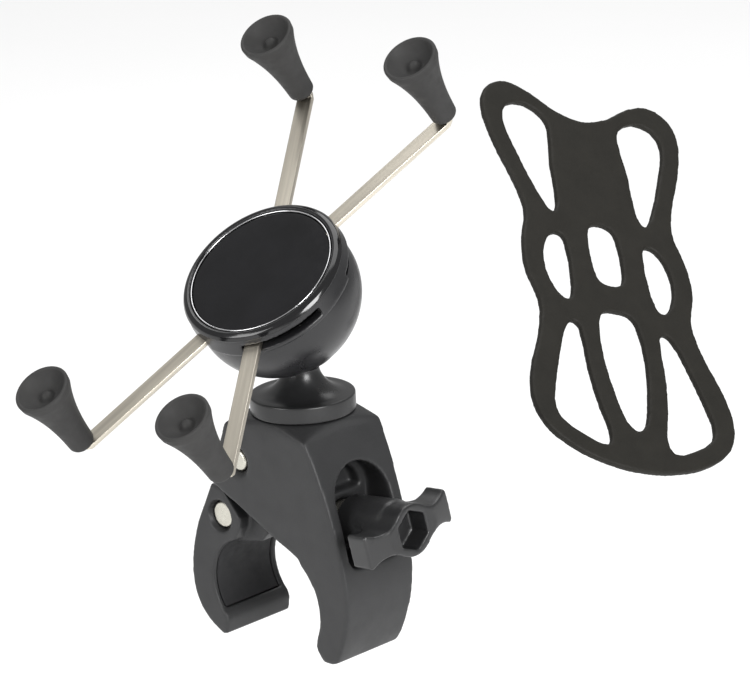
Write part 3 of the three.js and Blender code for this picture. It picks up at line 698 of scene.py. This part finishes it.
class MOUNT_OT_ball_stud(Operator):
    """Collar, flared neck and rubber-skinned ball"""

    bl_idname = "mount.ball_stud"
    bl_label = "Ball stud"

    def execute(self, context):
        low, _, collar = lathe_size("ball_base", STUD)
        _, _, ball = lathe_size("ball_cover", STUD)
        top = low + 4.9 * MM
        face = collar - 2.0 * MM
        neck = 5.1 * MM
        skin_thickness = 0.9 * MM
        flare_end = -ball + 0.6 * MM
        # the flare is a superellipse quarter: from the collar's face inwards and up to the neck
        a = np.linspace(0, np.pi / 2, 22)
        flare_r = neck + (face - neck) * (1 - np.sin(a)) ** 0.85
        flare_z = top + 0.1 * MM + (flare_end - top) * (1 - np.cos(a)) ** 0.95
        rim = rounded(
            [(0, low), (collar, low), (collar, top), (face, top + 0.1 * MM)],
            [0, 0.5 * MM, 0.6 * MM, 0],
        )
        profile = np.concatenate([rim, np.stack([flare_r, flare_z], axis=-1), [(0, flare_end)]])
        piece = revolve("ball_stud_base", profile, STUD)
        finish_piece(piece, stud_plastic(), "clamp", ["ball_base"])
        start = -90 + math.degrees(math.asin((neck + 0.4 * MM) / ball))
        outside = arc_points(0, 0, ball, start, 90, 60)
        inside = arc_points(0, 0, ball - skin_thickness, 90, start, 40)
        outside[-1, 0] = inside[0, 0] = 0
        ball_piece = revolve("ball_skin", np.concatenate([outside, inside, outside[:1]]), STUD)
        finish_piece(ball_piece, ball_rubber(), "clamp", ["ball_cover"])
        return {"FINISHED"}


# how much deeper the hub's parting line and arm windows sit than on the frame's cover
WALL_DROP = 1.4 * MM


class MOUNT_OT_hub(Operator):
    """Hub dome, cover, trim ring and blank gloss label"""

    bl_idname = "mount.hub"
    bl_label = "Hub"

    def dome(self):
        """Elliptic shell with an open mouth: r = widest cos a, z = middle + tall sin a."""
        low, high, _ = lathe_size("hub_dome", HUB)
        high -= WALL_DROP
        widest = 23.9 * MM
        middle = 13.8 * MM
        tall = widest * 0.912
        land_radius = 13.05 * MM
        socket_radius = 16.3 * MM
        bore = 10.5 * MM
        bore_floor = 12.6 * MM
        start = math.asin((low - middle) / tall)
        end = math.asin((high - middle) / tall)
        a = np.linspace(start, end, 70)
        outside = np.stack([widest * np.cos(a), middle + tall * np.sin(a)], axis=-1)
        socket = arc_points(0, 0, socket_radius, 26, 40, 4)[::-1]
        land = arc_points(0, 0, land_radius, -15, 18, 14)[::-1]
        mouth = [(land[-1][0] + 0.5 * MM, low)]
        inner = np.concatenate([[(bore, high), (bore, bore_floor)], socket, land])
        profile = np.concatenate([mouth, outside, inner, mouth])
        edge = rounded(profile, [0, 0.8 * MM] + [0] * (len(profile) - 2), 6)
        dome = revolve("hub_dome_shell", edge, HUB)
        finish_piece(dome, hub_plastic(), "hub", ["hub_dome"])

    def cover_shape(self, mesh):
        """Rounds the cover and lowers its outer wall: z' = z - drop * outer * under.

        outer runs from 0 at 15 mm from the axis to 1 at 18 mm, and under runs from 0 at 1.1 mm below
        the cover's top to 1 at 2 mm below it.
        """
        true_rounds(HUB, 40, 20 * MM)(mesh)
        _, top, _ = lathe_size("hub_cover", HUB)
        co = seen_from(coordinates(mesh), HUB.inverted())
        outer = np.clip((np.hypot(co[:, 0], co[:, 1]) - 15 * MM) / (3 * MM), 0, 1)
        under = np.clip((top - 1.1 * MM - co[:, 2]) / (0.9 * MM), 0, 1)
        co[:, 2] -= WALL_DROP * outer * under
        store(mesh, seen_from(co, HUB))

    def execute(self, context):
        self.dome()
        cover = moulded_copy(
            "hub_cover", "hub_cover_shell", grain=0.3 * MM, rounding=3, fairing=20, shape=self.cover_shape
        )
        finish_piece(cover, hub_plastic(), "hub", ["hub_cover"])
        _, top, _ = lathe_size("hub_cover", HUB)
        # the rim's section in millimetres: radius, and height over the cover's top
        section = [(21.9, -0.25), (22.5, 0.12), (23.7, -0.45), (24.4, -1.6), (24.1, -2.0), (22.4, -0.9), (21.9, -0.25)]
        rim = np.array(section) * MM + (0, top)
        bezel = revolve("hub_bezel", rounded(rim, [0] + [0.5 * MM] * 5 + [0], 7), HUB)
        finish_piece(bezel, gloss_bezel(), "hub", [])
        low, high, radius = lathe_size("face_label", HUB)
        crown = 0.25 * MM
        r = np.linspace(0, radius, 60)
        # the label's face is a shallow dome: height = crown * (1 - (r / radius)^4)
        face = np.stack([r, high - crown + crown * (1 - (r / radius) ** 4)], axis=-1)[::-1]
        edge = [(0, low), (radius - 0.1 * MM, low), (radius, low + 0.2 * MM)]
        label = revolve("label_disc", np.concatenate([edge, face]), HUB)
        finish_piece(label, gloss_label(), "hub", ["face_label"])
        low, high, radius = lathe_size("trim_ring", HUB)
        inner = radius - 0.4 * MM
        middle = (inner + radius) / 2
        half = (radius - inner) / 2
        section = arc_points(middle, high - half, half, 0, 180, 12)
        loop = np.concatenate([[(radius, low)], section, [(inner, low), (radius, low)]])
        ring = revolve("trim_ring_bright", loop, HUB)
        bright = plated_metal("bright_ring", (0.62, 0.62, 0.63), (0.12, 0.25))
        finish_piece(ring, bright, "hub", ["trim_ring"])
        return {"FINISHED"}


# what the visible arms have over the frame's: more reach, no lean at the ends, and a joggle past the hub,
# which runs between two distances from the axis and lowers the arm by its drop
ARM_STEP = {"arm_strip_upper": 4.3 * MM, "arm_strip_lower": 3.4 * MM}
ARM_LEAN = math.radians(9)
JOGGLE = (15 * MM, 20 * MM)
ARM_DROP = {"arm_strip_upper": 1.4 * MM, "arm_strip_lower": 0.0}


def arm_place(node):
    """Frame of an arm strip: origin on the hub axis at the strip's mid plane, X out along the strip."""
    normal = Vector(JOINTS["hub_spin"]["axis"])
    co = coordinates(NODES[node].data)
    far = co[np.linalg.norm(co - np.array(BALL), axis=1).argmax()]
    end = co[np.linalg.norm(co - far, axis=1) < 25 * MM]
    place = axes_at(BALL, normal, Vector(end.mean(axis=0)) - BALL)
    co = local_vertices(node, place)
    flat = co[np.abs(co[:, 0]) < 30 * MM]
    return place @ Matrix.Translation((0, 0, (flat[:, 2].min() + flat[:, 2].max()) / 2))


def joggle_cuts(mesh, place):
    """Cuts a strip across at the ends of its joggle, so that only that length slopes."""
    bm = bmesh.new()
    bm.from_mesh(mesh)
    for x in JOGGLE:
        for side in (-1, 1):
            bmesh.ops.bisect_plane(
                bm, geom=bm.verts[:] + bm.edges[:] + bm.faces[:], dist=1e-7,
                plane_co=place @ Vector((side * x, 0, 0)), plane_no=place.to_3x3().col[0],
            )
    bm.to_mesh(mesh)
    bm.free()


def reach_out(mesh, place, step, drop):
    """Lengthens a strip, joggles it and stands its bent ends square.

    Outside 40 mm the strip runs out to one step more: x' = x + step * (|x| - 40) / 20, then held,
    and above its mid plane the lean is taken out: x' = x' - tan(lean) * z. Past the joggle z' = z - drop.
    """
    co = seen_from(coordinates(mesh), place.inverted())
    side = np.sign(co[:, 0])
    out = np.abs(co[:, 0])
    lean = np.tan(ARM_LEAN) * np.maximum(co[:, 2], 0) * (out > 60 * MM)
    co[:, 0] = side * (out + step * np.clip((out - 40 * MM) / (20 * MM), 0, 1) - lean)
    co[:, 2] -= drop * np.clip((out - JOGGLE[0]) / (JOGGLE[1] - JOGGLE[0]), 0, 1)
    store(mesh, seen_from(co, place))


class MOUNT_OT_arms(Operator):
    """Stainless arm strips"""

    bl_idname = "mount.arms"
    bl_label = "Arm strips"

    def execute(self, context):
        for node, body in (("arm_strip_upper", "arm_upper"), ("arm_strip_lower", "arm_lower")):
            place = arm_place(node)
            steel = brushed_metal(
                "brushed_" + node, settings().strip_colour, (0.03, 1.0, 1.0),
                tuple(place.to_3x3().inverted().to_euler()), (0.26, 0.42),
            )
            piece = eased_copy(node, node + "_ground", width=0.15 * MM, segments=2)
            joggle_cuts(piece.data, place)
            reach_out(piece.data, place, ARM_STEP[node], ARM_DROP[node])
            weighted_normals(piece.data, 30)
            finish_piece(piece, steel, body, [node])
        return {"FINISHED"}


TIPS = {
    "grip_tip_bottom_right": "arm_upper",
    "grip_tip_top_left": "arm_upper",
    "grip_tip_top_right": "arm_lower",
    "grip_tip_bottom_left": "arm_lower",
}
TIP_REACH = 65 * MM
TIP_FOOT = 3.8 * MM
TIP_RIM = 8.0 * MM
TIP_TOP = 25.9 * MM
TIP_BASE = 2.4 * MM
TIP_LIP = 0.6 * MM
CUP_DEPTH = 4.2 * MM
BOSS_HEIGHT = 1.9 * MM
BOSS_RADIUS = 2 * MM
# the share of its arm's drop that a tip's place follows, and the further share that its foot follows
PLACE_FOLLOWS = 0.4
FOOT_FOLLOWS = 0.2


class MOUNT_OT_tips(Operator):
    """Rubber grip tips, flared like a golf tee, with a cup and a small boss in the head"""

    bl_idname = "mount.tips"
    bl_label = "Grip tips"

    def execute(self, context):
        for node, body in TIPS.items():
            strip = "arm_strip_" + body.split("_")[1]
            drop = ARM_DROP[strip]
            arm = arm_place(strip) @ Matrix.Translation((0, 0, -PLACE_FOLLOWS * drop))
            side = 1 if arm.to_3x3().col[0].dot(centre(node) - BALL) > 0 else -1
            place = arm @ Matrix.Translation((side * (TIP_REACH + ARM_STEP[strip]), 0, 0))
            low = 0.3 * MM - FOOT_FOLLOWS * drop
            a = np.linspace(-np.pi / 2, 0, 14)
            base = np.stack([TIP_FOOT * np.cos(a), low + TIP_BASE * (1 + np.sin(a))], axis=-1)
            # radius(s) = foot + (rim - foot) * (0.22 s + 0.78 s^2.4), s from the base up to the lip
            s = np.linspace(0, 1, 50)
            wall_r = TIP_FOOT + (TIP_RIM - TIP_FOOT) * (0.22 * s + 0.78 * s**2.4)
            wall_z = low + TIP_BASE + s * (TIP_TOP - low - TIP_BASE - 3 * TIP_LIP)
            wall = np.stack([wall_r, wall_z], axis=-1)[1:-1]
            lip = arc_points(TIP_RIM - TIP_LIP, TIP_TOP - TIP_LIP, TIP_LIP, -8, 120, 14)
            # the cup sinks from the lip to a round boss in the middle:
            # depth(r) = cup * (1 - (r / edge)^2.6) - boss * exp(-(r / boss radius)^4)
            r = np.linspace(TIP_RIM - 1.0 * MM, 0, 44)
            depth = CUP_DEPTH * (1 - (r / r[0]) ** 2.6) - BOSS_HEIGHT * np.exp(-((r / BOSS_RADIUS) ** 4))
            cup = np.stack([r, TIP_TOP - 0.12 * MM - depth], axis=-1)
            profile = np.concatenate([base, wall, lip, cup])
            piece = revolve(node + "_moulded", profile, place, 72)
            finish_piece(piece, tip_rubber(), body, [node])
        return {"FINISHED"}


class MOUNT_OT_tether(Operator):
    """Flat rubber tether with rounded edges"""

    bl_idname = "mount.tether"
    bl_label = "Tether"

    def execute(self, context):
        piece = moulded_copy("tether", "tether_sheet", grain=0.42 * MM, rounding=6, fairing=20)
        finish_piece(piece, tether_rubber(), "clamp", ["tether"])
        return {"FINISHED"}


FLOOR_GAP = 0.12
FLOOR_HALF = 12.0
WORLD_STRENGTH = 0.42
# name, place, width in metres and watts
SOFTBOXES = (
    ("key_softbox", (1.5, -0.35, 0.62), 0.7, 28),
    ("fill_softbox", (-0.25, -1.6, 0.66), 0.9, 17),
    ("top_softbox", (-0.5, 0.6, 2.0), 2.0, 32),
)
LIGHT_TARGET = Vector((0.02, 0.03, 0.06))
# the camera's stand in metres and degrees, its lens and sensor in millimetres, and how far it sees in metres
CAMERA_PLACE = Vector((0.8297, -0.7846, 0.4341))
CAMERA_AZIMUTH = 45.459
CAMERA_ELEVATION = 17.503
CAMERA_ROLL = 2.916
CAMERA_LENS = 204.485
SENSOR_WIDTH = 36
CAMERA_CLIP = 40


class MOUNT_OT_stage(Operator):
    """Pale floor, soft lights and the camera"""

    bl_idname = "mount.stage"
    bl_label = "Stage"

    def execute(self, context):
        scene = context.scene
        floor_z = CAD_BOX[0][2] - FLOOR_GAP
        half = FLOOR_HALF
        mesh = bpy.data.meshes.new("floor")
        corners = [(-half, -half, floor_z), (half, -half, floor_z), (half, half, floor_z), (-half, half, floor_z)]
        mesh.from_pydata(corners, [], [(0, 1, 2, 3)])
        floor = link("floor", mesh)
        material, tree, shader = new_material("pale_floor")
        shader.inputs["Roughness"].default_value = 0.9
        shader.inputs["Specular IOR Level"].default_value = 0.1
        tree.links.new(ramp(tree, noise(tree, 3), 0.9, 0.92), shader.inputs["Base Color"])
        mesh.materials.append(material)

        world = bpy.data.worlds.new("studio")
        scene.world = world
        world.use_nodes = True
        world.node_tree.nodes["Background"].inputs["Color"].default_value = (1, 1, 1, 1)
        world.node_tree.nodes["Background"].inputs["Strength"].default_value = WORLD_STRENGTH

        for name, place, width, power in SOFTBOXES:
            data = bpy.data.lights.new(name, "AREA")
            data.size = width
            data.energy = power
            lamp = bpy.data.objects.new(name, data)
            scene.collection.objects.link(lamp)
            lamp.location = place
            lamp.rotation_euler = (LIGHT_TARGET - Vector(place)).to_track_quat("-Z", "Y").to_euler()

        azimuth = math.radians(CAMERA_AZIMUTH)
        elevation = math.radians(CAMERA_ELEVATION)
        roll = math.radians(CAMERA_ROLL)
        right = Vector((math.cos(azimuth), math.sin(azimuth), 0))
        back = Vector((
            math.sin(azimuth) * math.cos(elevation), -math.cos(azimuth) * math.cos(elevation), math.sin(elevation),
        ))
        up = back.cross(right)
        x_axis = right * math.cos(roll) - up * math.sin(roll)
        y_axis = right * math.sin(roll) + up * math.cos(roll)
        camera_data = bpy.data.cameras.new("camera")
        camera_data.lens = CAMERA_LENS
        camera_data.sensor_width = SENSOR_WIDTH
        camera_data.clip_end = CAMERA_CLIP
        camera = bpy.data.objects.new("camera", camera_data)
        scene.collection.objects.link(camera)
        m = Matrix((x_axis, y_axis, back)).transposed().to_4x4()
        m.translation = CAMERA_PLACE
        camera.matrix_world = m
        scene.camera = camera
        scene.view_settings.view_transform = "Standard"
        return {"FINISHED"}


class MOUNT_PT_panel(Panel):
    """Lists the mount's pieces"""

    bl_label = "Phone Handlebar Mount"
    bl_idname = "MOUNT_PT_panel"
    bl_space_type = "VIEW_3D"
    bl_region_type = "UI"
    bl_category = "Mount"

    def draw(self, context):
        for name in MountSettings.__annotations__:
            self.layout.prop(context.scene.mount_settings, name)
        for operator in OPERATORS:
            self.layout.operator(operator.bl_idname)


OPERATORS = (
    MOUNT_OT_stage,
    MOUNT_OT_clamp_body,
    MOUNT_OT_moving_jaw,
    MOUNT_OT_jaw_pads,
    MOUNT_OT_knob,
    MOUNT_OT_hardware,
    MOUNT_OT_clamp_screw,
    MOUNT_OT_ball_stud,
    MOUNT_OT_hub,
    MOUNT_OT_arms,
    MOUNT_OT_tips,
    MOUNT_OT_tether,
)
CLASSES = (MountSettings, *OPERATORS, MOUNT_PT_panel)


def register():
    """Registers the classes and the scene's settings."""
    for cls in CLASSES:
        bpy.utils.register_class(cls)
    bpy.types.Scene.mount_settings = PointerProperty(type=MountSettings)


def unregister():
    """Takes the settings and the classes out again."""
    del bpy.types.Scene.mount_settings
    for cls in reversed(CLASSES):
        bpy.utils.unregister_class(cls)


def main():
    """Builds the stage and every piece."""
    register()
    for operator in OPERATORS:
        group, name = operator.bl_idname.split(".")
        getattr(getattr(bpy.ops, group), name)()


if __name__ == "__main__":
    main()
